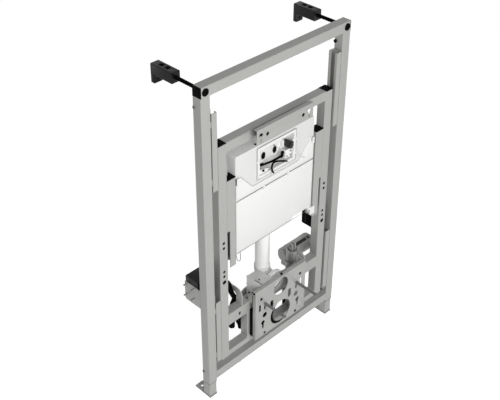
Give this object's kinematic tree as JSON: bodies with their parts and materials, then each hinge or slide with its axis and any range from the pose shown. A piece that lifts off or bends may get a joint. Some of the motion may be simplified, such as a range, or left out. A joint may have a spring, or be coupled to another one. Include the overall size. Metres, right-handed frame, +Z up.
{
  "type": "wall hung toilet frame",
  "caption": "Free-standing tubular wall frame whose motor-driven carriage carries a cistern, flush and waste bends and a stud plate for a wall hung toilet bowl.",
  "frame": {"origin": "on the floor, midway between the outer sides and midway from the stud tips to the wall faces of the brackets", "axes": "+X to the right as seen from the room, +Y towards the wall, +Z up"},
  "size_m": [0.73, 0.387, 1.4],
  "materials": {
    "frame_metal": "satin silver-grey coat",
    "galvanised": "zinc-plated",
    "black_plastic": "matt black",
    "white_plastic": "white",
    "grey_plastic": "pale grey",
    "pipe_white": "white",
    "drain_black": "black",
    "valve_grey": "dark grey",
    "cast_grey": "cast, grey",
    "guide_plastic": "dark low-friction plastic"
  },
  "bodies": {
    "frame": {"left_upright": "frame_metal", "right_upright": "frame_metal", "top_rail": "frame_metal", "bottom_rail": "frame_metal", "left_foot": "frame_metal", "right_foot": "frame_metal", "left_guide_rails": "frame_metal", "right_guide_rails": "frame_metal", "end_plugs": "black_plastic", "wall_brackets": "black_plastic", "control_box": "black_plastic", "wall_rods": "black_plastic", "spindle_boot": "black_plastic", "control_bracket": "frame_metal", "actuator_spindle": "galvanised"},
    "carriage": {"left_carriage_post": "frame_metal", "right_carriage_post": "frame_metal", "left_inner_post": "frame_metal", "right_inner_post": "frame_metal", "top_crossbar": "frame_metal", "support_crossbar": "frame_metal", "base_crossbar": "frame_metal", "plate_posts": "frame_metal", "fixing_plate": "frame_metal", "hanger_bracket": "frame_metal", "support_arm": "frame_metal", "support_tab": "frame_metal", "elbow_shelf": "frame_metal", "plate_pad": "black_plastic", "post_caps": "black_plastic", "supply_box": "black_plastic", "waste_clamp": "black_plastic", "drive_conduit": "black_plastic", "guide_blocks": "guide_plastic", "bowl_studs": "galvanised", "cistern_tank": "grey_plastic", "flush_elbow": "grey_plastic", "cistern_cover": "white_plastic", "cistern_collar": "white_plastic", "service_box": "white_plastic", "valve_block": "white_plastic", "flush_barrel": "valve_grey", "flush_pipe": "pipe_white", "waste_bend": "drain_black", "actuator_column": "cast_grey", "actuator_motor": "cast_grey"}
  },
  "joints": [
    {"name": "carriage_lift", "type": "slide", "parent": "frame", "child": "carriage", "axis": [0, 0, 1], "range_m": [0, 0.2]}
  ]
}
